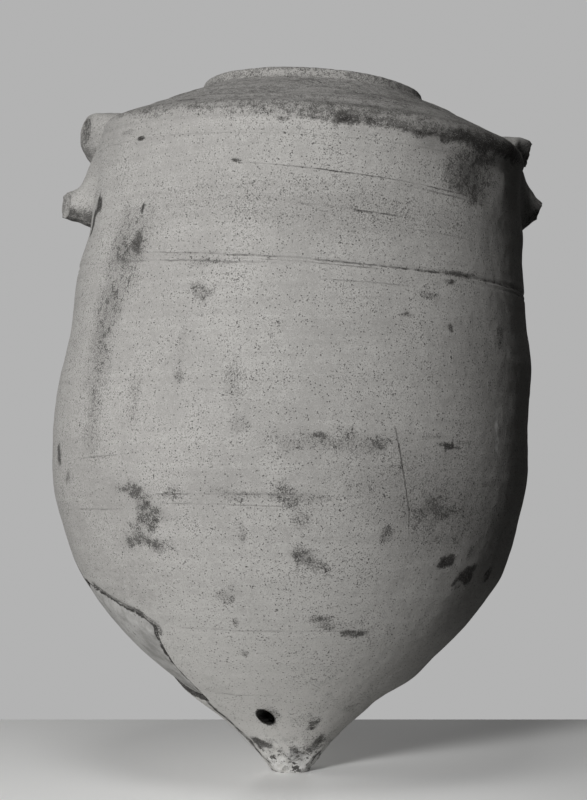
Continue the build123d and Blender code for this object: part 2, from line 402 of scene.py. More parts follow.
def wear(bm, layers, uneven, stains_and_shading=stained_and_shaded):
    """Gives a thrown section its hand-made unevenness, its stains and painted shade, and leans it.
    """
    for vert in bm.verts:
        if vert[layers["skin"]] > 0.5:
            turn = atan2(vert.co.x, -vert.co.y)
            along = vert[layers["along"]]
            push = uneven(vert.co, turn, along)
            vert[layers["stain_and_shade"]] = stains_and_shading(vert.co, turn, along, vert[layers["radius"]])
            out = vert[layers["out"]] * push
            vert.co += Vector((sin(turn) * out, -cos(turn) * out, vert[layers["up"]] * push))
        vert.co = leaned(vert.co)


class Wire:
    """One socket among a clay's nodes. Arithmetic on it adds Math nodes."""

    def __init__(self, tree, socket=None):
        self.tree = tree
        self.socket = socket

    def node(self, kind, settings, sockets, output=0):
        """Any node: its settings first, then the values or links of its sockets."""
        made = self.tree.nodes.new(kind)
        for name, value in settings.items():
            setattr(made, name, value)
        for name, value in sockets.items():
            if isinstance(value, Wire):
                self.tree.links.new(value.socket, made.inputs[name])
            else:
                made.inputs[name].default_value = value
        return Wire(self.tree, made.outputs[output])

    def maths(self, operation, first, second=0.0):
        """A Math node on one or two values."""
        return self.node("ShaderNodeMath", {"operation": operation}, {0: first, 1: second})

    def __add__(self, other):
        return self.maths("ADD", self, other)

    __radd__ = __add__

    def __sub__(self, other):
        return self.maths("SUBTRACT", self, other)

    def __rsub__(self, other):
        return self.maths("SUBTRACT", other, self)

    def __mul__(self, other):
        return self.maths("MULTIPLY", self, other)

    __rmul__ = __mul__

    def __abs__(self):
        return self.maths("ABSOLUTE", self)

    def step(self, low, high):
        """Soft step from 0 at low to 1 at high."""
        return self.node(
            "ShaderNodeMapRange",
            {"interpolation_type": "SMOOTHSTEP"},
            {"Value": self, "From Min": low, "From Max": high},
        )

    def mixed(self, under, over):
        """Colour that goes from one to another by this share."""
        return self.node(
            "ShaderNodeMix", {"data_type": "RGBA"}, {"Factor": self, 6: under, 7: over}, 2
        )

    def carried(self, name):
        """A value that the mesh carries at each vertex."""
        return self.node("ShaderNodeAttribute", {"attribute_name": name}, {}, "Fac")

    def speckle(self, scale, detail, roughness):
        """Noise about zero at a scale, on the place that this wire carries."""
        sockets = {"Vector": self, "Scale": scale, "Detail": detail, "Roughness": roughness}
        return self.node("ShaderNodeTexNoise", {}, sockets) - 0.5


DULL = 0.05


def matt(name):
    """A surface without gloss: its material, its shader and a first wire among its nodes."""
    material = bpy.data.materials.new(name)
    material.use_nodes = True
    shader = material.node_tree.nodes["Principled BSDF"]
    shader.inputs["Specular IOR Level"].default_value = DULL
    return material, shader, Wire(material.node_tree)


def surfaced(nodes, shader, colour, relief, strength, depth, rough):
    """Joins a surface's colour, its fine relief and its roughness to its shader."""
    sockets = {"Strength": strength, "Distance": depth * MM, "Height": relief}
    bump = nodes.node("ShaderNodeBump", {}, sockets)
    for name, wire in (("Base Color", colour), ("Normal", bump), ("Roughness", rough)):
        nodes.tree.links.new(wire.socket, shader.inputs[name])


PALE_CLAY = (0.41, 0.401, 0.384, 1)
MID_CLAY = (0.28, 0.273, 0.261, 1)
DARK_CLAY = (0.14, 0.136, 0.129, 1)
PALE_LOW_TONE = (0.52, 0.51, 0.49, 1)
SOOT = (0.04, 0.038, 0.036, 1)
LIME = (0.6, 0.594, 0.58, 1)
GIRTH = 5.9

# Fine level lines in the clay, one of them painted shadow under the ledge's step, and upright
# cracks: where each starts and ends across its own run, where the run starts and ends, half
# thickness and darkness. Heights are along the jar, in millimetres. Turns are in degrees from the
# front, and a crack's places across are in millimetres round the wall.
LINES = (
    (720, 717, -44, -16, 0.8, 0.5),
    (709, 707, -50, -8, 1, 0.6),
    (716.5, 712.5, -16, 30, 1, 0.8),
    (712, 709, -12, 20, 0.8, 0.6),
    (713.5, 713.5, 24, 58, 1.5, 1),
    (713.5, 708, 52, 84, 0.9, 0.8),
    (689.5, 690.5, 4, 27, 0.8, 0.45),
    (899.5, 896.5, 20, 37, 1.5, 1),
    # Painted shadow under the step of the scored ledge.
    (840.5, 822.5, -18, 54, 0.9, 0.95),
    (824, 818.5, 24, 44, 1.1, 0.7),
    (789, 781.5, -6, 26, 0.9, 0.75),
    (768.5, 764.5, 22, 44, 0.8, 0.45),
    (453, 460, -58, -38, 0.9, 0.4),
    (385.5, 388, -64, -40, 1, 0.42),
    (409, 408.5, -32, 4, 0.9, 0.5),
    (397.5, 392.5, -33, 3, 0.8, 0.5),
    (227.5, 226.5, -34, 24, 1, 0.25),
    (127.5, 126.5, -44, -8, 1, 0.3),
)
CRACKS = (
    (132, 140, 500, 470, 0.9, 0.5),
    (139, 160, 474, 386, 1, 0.7),
    (160, 164, 390, 350, 0.9, 0.7),
    (-332, -362, 126, 96, 9, 2),
    (-360, -382, 100, 58, 16, 2),
    (-382, -362, 62, 6, 30, 2),
)


def fired_clay(name):
    """Coarse grey clay: mottled, wiped round in streaks, gritty, pitted, stained and scored, paler
    towards the bottom, with painted shade among the carried stains and on the shoulder's rounded
    edge.
    """
    material, shader, nodes = matt(name)
    place = nodes.node("ShaderNodeTexCoord", {}, {}, "Object")
    x, y, z = (nodes.node("ShaderNodeSeparateXYZ", {}, {0: place}, axis) for axis in "XYZ")
    along, skin, stain_and_shade = (nodes.carried(layer) for layer in ("along", "skin", "stain_and_shade"))
    middle = nodes.maths("MAXIMUM", z - BELLY, 0.0) * tan(LEAN)
    turn = nodes.maths("ARCTAN2", x - middle, 0 - y) * degrees(1)

    wiped = nodes.node("ShaderNodeMapping", {}, {"Vector": place, "Scale": (4, 4, 110)})
    streak = wiped.speckle(1, 4, 0.6)
    cloud = place.speckle(5, 3, 0.5)
    mottle = place.speckle(17, 5, 0.62)
    coarse = place.speckle(120, 3, 0.65)
    fine = place.speckle(520, 2, 0.6)
    grit = place.speckle(800, 1, 0.5)

    low = 1 - along.step(0.16, 0.4)
    base = 1 - along.step(0.04, 0.3)
    side = (x - middle) * 3
    drawn = side.step(-0.3, 0.5) * 0.012 - (1 - side.step(-0.95, -0.6)) * 0.02
    frayed = along + drawn + coarse * 0.012 + mottle * 0.014
    dome = frayed.step(0.901, 0.911) * skin
    edge = frayed.step(0.912, 0.918) * (1 - along.step(0.928, 0.944)) * skin
    body = 0.5 + cloud * 1.4 + mottle * 1.4 + streak * 0.6
    body = body + coarse * 1.3 + fine * 1.5
    # The clay is made paler towards the bottom.
    colour = (body + low * 0.35).step(0, 1).mixed(MID_CLAY, PALE_CLAY)
    colour = (base * 0.75).mixed(colour, PALE_LOW_TONE)
    # The dome's mix is darker towards the right.
    dirt = 0.42 + side * 0.12 + streak * 2 + coarse * 2.4 + mottle * 1.6
    dirt = dome * (dirt + fine * 1.2)
    colour = (dirt.step(0.0, 1.1) * 0.85).mixed(colour, DARK_CLAY)
    # Painted shade darkens the shoulder's rounded edge, more towards the right.
    edge_shade = edge * (0.6 + side * 0.15 + streak * 1.2 + coarse * 1.4)
    colour = edge_shade.mixed(colour, DARK_CLAY)

    # The carried darkening holds real stains and soot, and painted shade: under and beside the
    # handle roots, under the shoulder's overhang, on the break's spalled bevel and in the drain
    # hole.
    darkening = nodes.maths("MAXIMUM", stain_and_shade, 0.0)
    density = 0.4 + mottle * 1.8 + cloud - low * 0.35 + dome * 0.4
    density = nodes.maths("MAXIMUM", density, 0.0) + darkening
    specks = (fine + density * 0.17 + coarse * 0.3).step(0.1, 0.22)
    colour = (specks * 0.55).mixed(colour, SOOT)
    cells = {"Vector": place, "Scale": 250.0}
    reach = nodes.node("ShaderNodeTexVoronoi", {}, cells, "Distance")
    share = nodes.node("ShaderNodeTexVoronoi", {}, cells, "Color")
    pits = (1 - reach.step(0.13, 0.3)) * (share + density * 0.22).step(0.55, 0.67)
    colour = (pits * 0.85).mixed(colour, SOOT)
    blots = place.speckle(95, 4, 0.68)
    colour = (darkening.step(0.0, 1.3) * 0.4).mixed(colour, DARK_CLAY)
    ragged = darkening * 0.6 + blots * 2.4 + fine * 1.2
    ragged = ragged.step(0.42, 0.62) * darkening.step(0.05, 0.45)
    inked = 0.6 + darkening.step(0.8, 2.4) * 0.33 + coarse * 0.8 + fine * 0.6
    colour = (ragged * inked).mixed(colour, SOOT)
    chips = (coarse + fine * 0.3 + density * 0.03).step(0.2, 0.24)
    colour = (chips * 0.75).mixed(colour, SOOT)
    colour = (grit.step(0.08, 0.25) * 0.35).mixed(colour, LIME)

    risen = along * (1 / MM)
    height = risen + mottle * 5 + coarse * 3
    girth = turn * GIRTH + mottle * 8 + coarse * 4
    frayed_turn = turn + mottle * 30 + coarse * 14
    frayed_height = risen + coarse * 20

    def scratch(across, run, mark):
        """One thin line that drifts across while its run goes on."""
        start, end, first, last, half, dark = mark
        drift = (run - first) * ((end - start) / (last - first)) + start
        near = 1 - abs(across - drift).step(half * 0.3, half * 1.8)
        return near * dark, min(first, last), max(first, last)

    lines = 0
    for mark in LINES:
        near, first, last = scratch(height, turn, mark)
        begun = frayed_turn.step(first - 2, first + 4)
        lines = near * (begun * (1 - frayed_turn.step(last - 4, last + 2))) + lines
    for mark in CRACKS:
        near, first, last = scratch(girth, risen, mark)
        begun = frayed_height.step(first - 3, first + 3)
        lines = near * (begun * (1 - frayed_height.step(last - 3, last + 3))) + lines
    patchy = 0.25 + mottle.step(-0.1, 0.06) * 0.75
    lines = lines * skin * patchy * (0.5 + blots.step(-0.14, 0.1) * 0.5)
    colour = nodes.maths("MINIMUM", lines, 0.92).mixed(colour, SOOT)

    chalk = nodes.maths("MAXIMUM", 0 - stain_and_shade, 0.0)
    chalk = (chalk + blots * 2).step(0.3, 0.9) * chalk.step(0.05, 0.4)
    colour = (chalk * 0.7).mixed(colour, LIME)
    foot = (1 - along.step(0.02, 0.07)) * skin
    crust = foot * (mottle + coarse).step(-0.06, 0.08) * (1 - along.step(0.015, 0.055))
    colour = (crust * 0.85).mixed(colour, LIME)
    scars = place.speckle(90, 4, 0.72).step(0.02, 0.08)
    colour = (foot * scars * 0.9).mixed(colour, SOOT)

    relief = fine * 0.7 + coarse * 1.2 + streak * 0.6
    relief = relief - specks * 0.3 - pits * 0.6 - chips * 1.4 - lines * 1.4
    surfaced(nodes, shader, colour, relief, 0.6, 0.9, 0.88 + coarse * 0.16)
    return material


CREASE = radians(50)
clay = fired_clay("fired_clay")


def placed(name, bm, material=clay):
    """Makes a finished piece of a mesh and puts it in place of its CAD node."""
    mesh = bpy.data.meshes.new(name + "_worn")
    bm.to_mesh(mesh)
    bm.free()
    mesh.shade_smooth()
    mesh.set_sharp_from_angle(angle=CREASE)
    mesh.materials.append(material)
    piece = bpy.data.objects.new(name + "_worn", mesh)
    bpy.context.scene.collection.objects.link(piece)
    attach(piece, "root")
    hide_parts(name)
    return piece


foot_side = smooth_line(FOOT_EDGE, FOOT_TOP, 2)
seat = inside_of(FOOT_TOP)
seat_height = FOOT_TOP[1] + WALL * tan(radians(JOINT_SLOPE))
foot_bm, foot_layers = thrown(
    [Vector((radius, 0)) for radius in (0, 9, 18)] + foot_side,
    [Vector((0, -1))] * 3 + facing(foot_side, FOOT_EDGE[2], FOOT_TOP[2]),
    [Vector((seat[0], seat_height)), Vector((0, seat_height))],
    closed=False,
)
wear(foot_bm, foot_layers, unevenness)
for vert in foot_bm.verts:
    vert.co.z = max(0, vert.co.z)
placed("foot_knob", foot_bm)


# Lower rings: three cone-shaped sections of coarse clay, each thrown, dried a little and luted
# on the last. The drain hole was cut through the first while it was soft.
# A piece has broken out on the left.
DRAIN_TOP = (158.5, 127, 52.44)
CONE_TOP = (266.25, 227, 38.98)
HAUNCH_TOP = (317.5, 312, 22.56)
DRAIN_RADIUS = 12.5
DRAIN_HEIGHT = 92
DRAIN_TURN = 251
PLUG_LENGTH = 200
PLUG_SIDES = 48
# Painted shade fills the drain hole.
DRAIN_SHADE = 3
CRACK_SOOT = 2.4

# The break lies on a plane across the cone. Its outline is round the jar and up the wall from the
# middle of that plane, and its bevel and spall are a width and a depth, all in millimetres.
BREAK_TURN = 196
BREAK_RISE = 60
BREAK_SPAN = 150
BREAK_INWARD = 90
UNBROKEN = 100
PRISM_BOTTOM = -70
PRISM_HEIGHT = 120
JAGS = 9
BREAK_OUTLINE = (
    (33, 106),
    (87, 73),
    (115, 52),
    (123, 31),
    (96, -5),
    (75, -35),
    (61, -68),
    (43, -112),
    (-10, -100),
    (-50, -78),
    (-85, -35),
    (-98, 20),
    (-85, 75),
    (-45, 112),
    (0, 122),
)
BEVELLED_EDGES = 3
BEVEL = (22, 6)
SPALL = (8, 3)
break_out = Vector((cos(radians(BREAK_TURN)), sin(radians(BREAK_TURN)), 0))
break_around = Vector((-sin(radians(BREAK_TURN)), cos(radians(BREAK_TURN)), 0))
spread = CONE_TOP[0] - DRAIN_TOP[0]
break_reach = DRAIN_TOP[0] + spread * BREAK_RISE / (CONE_TOP[1] - DRAIN_TOP[1])
break_square = (break_out * (CONE_TOP[1] - DRAIN_TOP[1]) - Vector((0, 0, spread))).normalized()
break_up = break_square.cross(break_around)
break_middle = (break_out * break_reach + Vector((0, 0, DRAIN_TOP[1] + BREAK_RISE))) * MM
break_frame = Matrix(
    (
        (break_around.x, break_up.x, break_square.x, break_middle.x),
        (break_around.y, break_up.y, break_square.y, break_middle.y),
        (break_around.z, break_up.z, break_square.z, break_middle.z),
        (0, 0, 0, 1),
    )
)
to_break = break_frame.inverted()
break_edges = [
    (Vector(start), Vector(end) - Vector(start))
    for start, end in zip(BREAK_OUTLINE, BREAK_OUTLINE[1:] + BREAK_OUTLINE[:1])
]
drain_way = Vector((cos(radians(DRAIN_TURN)), sin(radians(DRAIN_TURN)), 0))


def broken_edge(co):
    """Distance from the edge of the break and depth of the spall there, in millimetres."""
    local = to_break @ co / MM
    nearest, deepest = UNBROKEN, 0
    if local.z > -BREAK_INWARD and abs(local.x) < BREAK_SPAN and abs(local.y) < BREAK_SPAN:
        for number, (start, way) in enumerate(break_edges):
            share = min(1, max(0, (local.xy - start).dot(way) / way.length_squared))
            away = (local.xy - start - way * share).length
            width, depth = BEVEL if number < BEVELLED_EDGES else SPALL
            nearest = min(nearest, away)
            deepest = max(deepest, depth * smooth(1 - away / width))
    return nearest, deepest


def lower_wear(co, turn, along):
    """Unevenness of the lower rings, spalled along the break."""
    deep = broken_edge(co)[1]
    if deep:
        deep *= 0.7 + 0.6 * noise.noise(co * 70)
    return unevenness(co, turn, along) - deep * MM


def lower_stains_and_shade(co, turn, along, radius):
    """Stains of the lower rings, soot along the break, and painted shade on its spalled bevel."""
    away, deep = broken_edge(co)
    crack = CRACK_SOOT * smooth((5 + 2 * noise.noise(co * 90) - away) / 3)
    # Painted shade darkens the spalled bevel of the break.
    return stained_and_shaded(co, turn, along, radius) + max(crack, 0.8 * smooth(deep / 2))


def break_prism(share):
    """Jagged prism through the wall where the piece broke out, at a share of its full width."""
    bm = bmesh.new()
    face = bm.faces.new([bm.verts.new((around * MM, up * MM, 0)) for around, up in BREAK_OUTLINE])
    bmesh.ops.subdivide_edges(bm, edges=face.edges[:], cuts=JAGS)
    for vert in bm.verts:
        way = noise.noise_vector(vert.co * 60) * 2.2 * MM
        way += noise.noise_vector(vert.co * 160) * 1.2 * MM
        vert.co.xy = (vert.co.xy + way.xy) * share
        vert.co.z = PRISM_BOTTOM * MM
    made = bmesh.ops.extrude_face_region(bm, geom=bm.faces[:])["geom"]
    raised = [item for item in made if isinstance(item, bmesh.types.BMVert)]
    bmesh.ops.translate(bm, verts=raised, vec=(0, 0, PRISM_HEIGHT * MM))
    bmesh.ops.recalc_face_normals(bm, faces=bm.faces)
    bmesh.ops.transform(bm, matrix=break_frame, verts=bm.verts)
    return bm


def drain_plug():
    """Round bar the size of the drain hole."""
    bm = bmesh.new()
    bmesh.ops.create_cone(
        bm,
        cap_ends=True,
        segments=PLUG_SIDES,
        radius1=DRAIN_RADIUS * MM,
        radius2=DRAIN_RADIUS * MM,
        depth=PLUG_LENGTH * MM,
    )
    bmesh.ops.translate(bm, verts=bm.verts, vec=(0, 0, PLUG_LENGTH * MM / 2))
    for angle, axis in ((pi / 2, "Y"), (radians(DRAIN_TURN), "Z")):
        turned = Matrix.Rotation(angle, 3, axis)
        bmesh.ops.rotate(bm, verts=bm.verts, cent=(0, 0, 0), matrix=turned)
    bmesh.ops.translate(bm, verts=bm.verts, vec=(0, 0, DRAIN_HEIGHT * MM))
    return bm


def cut(piece, tool, operation):
    """Cuts a piece with a tool mesh, or keeps only what lies inside it."""
    mesh = bpy.data.meshes.new("tool")
    tool.to_mesh(mesh)
    tool.free()
    cutter = bpy.data.objects.new("tool", mesh)
    bpy.context.scene.collection.objects.link(cutter)
    modifier = piece.modifiers.new("cut", "BOOLEAN")
    modifier.operation = operation
    modifier.solver = "MANIFOLD"
    modifier.object = cutter
    bpy.context.view_layer.update()
    depsgraph = bpy.context.evaluated_depsgraph_get()
    result = bpy.data.meshes.new_from_object(piece.evaluated_get(depsgraph))
    piece.modifiers.clear()
    uncut = piece.data
    piece.data = result
    bpy.data.meshes.remove(uncut)
    bpy.data.objects.remove(cutter)
    bpy.data.meshes.remove(mesh)


def blackened(piece):
    """Painted shade in the drain hole, and soot in the open edges of the break, which are no
    longer skin.
    """
    piece.data.set_sharp_from_angle(angle=CREASE)
    stain_and_shade_data = piece.data.attributes["stain_and_shade"].data
    for vert in piece.data.vertices:
        away = vert.co - Vector((0, 0, DRAIN_HEIGHT * MM))
        run = away.dot(drain_way)
        if run > 0 and (away - drain_way * run).length < (DRAIN_RADIUS + 1) * MM:
            stain_and_shade_data[vert.index].value = DRAIN_SHADE
        elif broken_edge(vert.co)[0] < 3:
            stain_and_shade_data[vert.index].value = CRACK_SOOT


def ring(bottom, top, spacing=3, uneven=unevenness, stains_and_shading=stained_and_shaded):
    """One thrown and luted ring of the wall, worn and leaning with the jar."""
    outside = smooth_line(bottom, top, spacing)
    inside = smooth_line(inside_of(bottom), inside_of(top), 14)
    bm, layers = thrown(outside, facing(outside, bottom[2], top[2]), inside[::-1])
    wear(bm, layers, uneven, stains_and_shading)
    return bm


for name, bottom, top in (
    ("drain_ring", FOOT_TOP, DRAIN_TOP),
    ("cone_ring", DRAIN_TOP, CONE_TOP),
    ("haunch_ring", CONE_TOP, HAUNCH_TOP),
):
    piece = placed(name, ring(bottom, top, 3, lower_wear, lower_stains_and_shade))
    cut(piece, break_prism(1), "DIFFERENCE")
    if name == "drain_ring":
        cut(piece, drain_plug(), "DIFFERENCE")
    blackened(piece)


# Belly rings: the widest part, two short sections with the joint between them wiped over.
# They carry the leaning upper body.
LOWER_BELLY_TOP = (342.75, 405, 9.43)
BELLY_TOP = (349, 460, 3)
placed("lower_belly_ring", ring(HAUNCH_TOP, LOWER_BELLY_TOP, 2.6))
placed("upper_belly_ring", ring(LOWER_BELLY_TOP, BELLY_TOP, 2.6))


# Wall rings: four tall sections, narrowing upwards, pressed on each other with a rope groove
# at the second joint. Together they lean to the right.
FIRST_TOP = (342.5, 585, -5.83)
SECOND_TOP = (329, 712, -6.76)
THIRD_TOP = (316.75, 826, -3.85)
WALL_TOP = (314, 896, -1.45)
placed("first_wall_ring", ring(BELLY_TOP, FIRST_TOP))
placed("second_wall_ring", ring(FIRST_TOP, SECOND_TOP, 2.4))
placed("third_wall_ring", ring(SECOND_TOP, THIRD_TOP, 2.2))
placed("top_wall_ring", ring(THIRD_TOP, WALL_TOP, 2))


# Shoulder: a shallow dome of the same clay, closed in by hand over the wall, with a rounded edge
# that overhangs it and a skirt wiped down over the joint. It is dirtier than the wall, because it
# faces up. Its rounded edge carries painted shade, and so does the band under its overhang on the
# right.
SHOULDER_SIDE = 318
SKIRT_BOTTOM = (WALL_TOP[0] + 0.9, 880, WALL_TOP[2])
SKIRT_TOP = (WALL_TOP[0] + 0.5, WALL_TOP[1], WALL_TOP[2])
EDGE_START = 904.6
EDGE_HANDLE = 14.4
EDGE_SHARE = 0.67
EDGE_ROWS = 15
DOME_START = (304, 926.4)
NECK = (152, 996)
DOME_SLOPE = 24.6
SEAT_BOTTOM = (144, 971.8)
dome_way = upwards(DOME_SLOPE - 90)
skirt_rows = smooth_line(SKIRT_BOTTOM, SKIRT_TOP, 2)
edge_rows = smooth_line(SKIRT_TOP, (SHOULDER_SIDE, EDGE_START, 0), 2)
round_rows = interpolate_bezier(
    Vector((SHOULDER_SIDE, EDGE_START)),
    Vector((SHOULDER_SIDE, EDGE_START + EDGE_HANDLE * EDGE_SHARE)),
    Vector(DOME_START) - dome_way * EDGE_HANDLE * EDGE_SHARE,
    Vector(DOME_START),
    EDGE_ROWS,
)
dome_rows = smooth_line((*DOME_START, DOME_SLOPE - 90), (*NECK, DOME_SLOPE - 90), 2.8)
shoulder_rows = skirt_rows + edge_rows[1:] + round_rows[1:] + dome_rows[1:]
shoulder_inside = [
    Vector(SEAT_BOTTOM),
    Vector((152, 971.8)),
    Vector((200, 949.8)),
    Vector((250, 926.9)),
    Vector((296, 906)),
    Vector((308, 897)),
]
shoulder_ways = facing(shoulder_rows, WALL_TOP[2], DOME_SLOPE - 90)
shoulder_bm, shoulder_layers = thrown(
    shoulder_rows, shoulder_ways, shoulder_inside, by_length=True
)
wear(shoulder_bm, shoulder_layers, unevenness)
placed("shoulder", shoulder_bm)


# Rim: a low everted lip of the same clay, pressed down on the dome round the mouth.
# Its edge is worn and chipped.
LIP = 1005
LIP_FOOT = (168, 989)
LIP_RADIUS = 162
LIP_SIDE = 1000
MOUTH_RADIUS = 138
MOUTH_EDGE = 999
BORE_ROW = 985
LIP_TILT = -30
MOUTH_TILT = 180
rim_bore = ((MOUTH_RADIUS, BORE_ROW), (MOUTH_RADIUS, SEAT_BOTTOM[1]), SEAT_BOTTOM)
rim_lines = (
    (LIP_FOOT, (165, 991.5), (163.6, 994.6), (LIP_RADIUS, LIP_SIDE), 8),
    ((LIP_RADIUS, LIP_SIDE), (161, 1003.4), (159, 1005.2), (154.5, LIP), 8),
    ((154.5, LIP), (148, 1004.6), (138.6, 1005.2), (MOUTH_RADIUS, MOUTH_EDGE), 12),
)
rim_rows = [Vector(LIP_FOOT)]
for *corners, rows in rim_lines:
    rim_rows += interpolate_bezier(*(Vector(corner) for corner in corners), rows)[1:]
rim_bm, rim_layers = thrown(
    rim_rows,
    facing(rim_rows, LIP_TILT, MOUTH_TILT),
    [Vector(place) for place in rim_bore],
    by_length=True,
)


def lip_wear(co, turn, along):
    """Unevenness of the rim, worn and chipped."""
    push = 1.1 * MM * noise.noise(co * 14) + 0.6 * MM * noise.noise(co * 80)
    return push - 1.6 * MM * smooth((noise.noise(co * 30 + Vector((3, 1, 7))) - 0.4) / 0.3)


wear(rim_bm, rim_layers, lip_wear)
placed("rim", rim_bm)


# Handle roots: what is left of two loop handles, rolled from clay and luted to the shoulder and
# the wall. The loops are gone, and the stubs end in rough dark breaks. Their sides and undersides
# carry painted shade.
HANDLE_TURN = 8
ROOT_SIDES = 64
ROOT_ROWS = 8
ROOT_HEIGHT = 0.87
ROOT_HOLLOW = 0.8
ROOT_LAYERS = ("along", "skin", "stain_and_shade")


def eased(points):
    """Smooth line through points."""
    line = []
    for number, (start, end) in enumerate(zip(points, points[1:])):
        before = points[max(0, number - 1)]
        after = points[min(len(points) - 1, number + 2)]
        leave, arrive = start + (end - before) / 6, end - (after - start) / 6
        line += interpolate_bezier(start, leave, arrive, end, ROOT_ROWS)[:-1]
    return line + points[-1:]


def handle_root(turn, stations, skew, pitch, darkening, side_shade, under):
    """Stub lofted through (reach, height, tall, wide) ovals, from inside the wall out to its rough
    end, which broke off askew. Its end is darkened, and painted shade darkens its sides below the
    top and its underside."""
    bm = bmesh.new()
    layers = {name: bm.verts.layers.float.new(name) for name in ROOT_LAYERS}
    around = Matrix.Rotation(radians(turn), 4, "Z")
    stand = Matrix.Rotation(pi / 2, 4, "Y")
    places = eased([Vector(station[:2]) for station in stations])
    sizes = eased([Vector(station[2:]) for station in stations])
    loops = []
    for place, size in zip(places, sizes):
        made = bmesh.ops.create_circle(bm, segments=ROOT_SIDES, radius=0.5)["verts"]
        oval = Matrix.Diagonal((size.x * MM, size.y * MM, 1, 1))
        out = Matrix.Translation((place.x * MM, 0, place.y * MM))
        slant = Matrix.Identity(4)
        share = smooth((place.x - places[0].x) / (places[-1].x - places[0].x))
        slant[0][1] = -skew * share
        slant[0][2] = pitch * share
        bmesh.ops.transform(bm, matrix=around @ out @ slant @ stand @ oval, verts=made)
        loops.append(list({edge for vert in made for edge in vert.link_edges}))
    for lower, upper in zip(loops, loops[1:]):
        bmesh.ops.bridge_loops(bm, edges=lower + upper)
    bmesh.ops.edgeloop_fill(bm, edges=loops[0])
    broken = bmesh.ops.edgeloop_fill(bm, edges=loops[-1])["faces"]
    bmesh.ops.recalc_face_normals(bm, faces=bm.faces)
    sides = set(bm.verts) - set(broken[0].verts)
    step = min(sizes[-1]) / 13 * MM
    for depth in (0.5, 1, 0.6, 0.2, -0.1):
        bmesh.ops.inset_region(bm, faces=broken, thickness=step, depth=-depth * ROOT_HOLLOW * MM)
    bmesh.ops.poke(bm, faces=broken)
    bm.normal_update()
    way = around @ Vector((1, 0, 0))
    for vert in bm.verts:
        vert[layers["along"]] = ROOT_HEIGHT
        lump = 1.8 * noise.noise(vert.co * 26) + 0.8 * noise.noise(vert.co * 75)
        rise = vert.normal.z
        # Painted shade darkens the sides below the top and, more, the underside.
        vert[layers["stain_and_shade"]] = max(side_shade * smooth(0.9 - rise * 1.2), under * smooth(-rise * 1.5))
        near_end = smooth(1 - (places[-1].x - vert.co.dot(way) / MM) / 12)
        vert[layers["stain_and_shade"]] += 0.5 * darkening * near_end
        if vert not in sides:
            vert[layers["stain_and_shade"]] = darkening
            rough = 3.2 * noise.noise(vert.co * 60) + 1.6 * noise.noise(vert.co * 150)
            vert.co += way * MM * rough
        vert.co += vert.normal * lump * MM
        vert.co = leaned(vert.co)
    return bm


LEFT_UPPER = (
    (256, 932, 16, 80),
    (280, 914, 54, 190),
    (300, 904.5, 77, 200),
    (308, 907.5, 71, 174),
    (316, 912, 62, 138),
    (322, 914.5, 58, 106),
    (326.5, 916, 53, 82),
    (329.5, 916.5, 46, 64),
    (331, 917, 36, 50),
)
LEFT_LOWER = (
    (298, 852, 164, 190),
    (306, 851.5, 151, 168),
    (313, 841, 128, 128),
    (321, 823.5, 89, 90),
    (331, 811.5, 59, 63),
    (342, 807, 46, 52),
    (353, 806, 37, 47),
)
RIGHT_UPPER = (
    (256, 944, 16, 70),
    (282, 936, 44, 130),
    (298, 922, 76, 150),
    (307, 926, 69, 134),
    (315, 930, 62, 104),
    (323, 933, 56, 76),
    (330, 936, 47, 56),
    (335, 937, 36, 42),
)
RIGHT_LOWER = (
    (290, 849, 190, 200),
    (300, 849, 184, 196),
    (307, 849, 168, 168),
    (315, 849, 136, 130),
    (323, 849.5, 104, 98),
    (331, 850.5, 78, 74),
    (339, 852, 56, 60),
    (347, 853, 39, 50),
    (356, 854, 25, 40),
)
left, right = 180 + HANDLE_TURN, HANDLE_TURN
left_upper = handle_root(left, LEFT_UPPER, skew=0.3, pitch=0, darkening=0.8, side_shade=0.1, under=0.25)
placed("left_handle_upper_root", left_upper)
left_lower = handle_root(left, LEFT_LOWER, skew=0.28, pitch=0, darkening=0.5, side_shade=0, under=0.9)
placed("left_handle_lower_root", left_lower)
right_upper = handle_root(
    right, RIGHT_UPPER, skew=-0.2, pitch=0.25, darkening=1.2, side_shade=0.8, under=0.9
)
placed("right_handle_upper_root", right_upper)
right_lower = handle_root(
    right, RIGHT_LOWER, skew=-0.2, pitch=0.25, darkening=0.8, side_shade=0.3, under=0.9
)
placed("right_handle_lower_root", right_lower)


# Filled break: modern plaster, toned to the clay and smoothed by hand below the old surface.
# It sinks towards its edge, where a dark crack is left between it and the clay.
PATCH_RECESS = 1.5
PATCH_SHARE = 0.97
PATCH_BACK_ROWS = 6
RUBBED_TURN = 85.5
FILL_PALE = (0.4, 0.395, 0.383, 1)
FILL_DARK = (0.24, 0.236, 0.227, 1)


def toned_plaster(name):
    """Matt plaster with soft clouds of toning, a few scrapes and dust in its hollows."""
    material, shader, nodes = matt(name)
    place = nodes.node("ShaderNodeTexCoord", {}, {}, "Object")
    stain_and_shade = nodes.carried("stain_and_shade")
    cloud = place.speckle(22, 4, 0.6)
    grain = place.speckle(240, 3, 0.6)
    drawn = {"Vector": place, "Scale": (60, 60, 9), "Rotation": (0, 0.7, 0.2)}
    scrapes = nodes.node("ShaderNodeMapping", {}, drawn).speckle(1, 3, 0.6)
    tone = 0.5 + cloud * 1.6 + scrapes * 1.1 + grain * 0.6
    colour = tone.step(0.1, 0.9).mixed(FILL_DARK, FILL_PALE)
    dust = (grain + cloud * 0.5 + stain_and_shade * 0.3).step(0.12, 0.24)
    colour = (dust * 0.75).mixed(colour, SOOT)
    colour = (stain_and_shade.step(0.2, 1.1) * 0.8).mixed(colour, SOOT)
    relief = scrapes * 0.9 + grain * 0.5
    surfaced(nodes, shader, colour, relief, 0.5, 0.8, 0.84 + grain * 0.2)
    return material


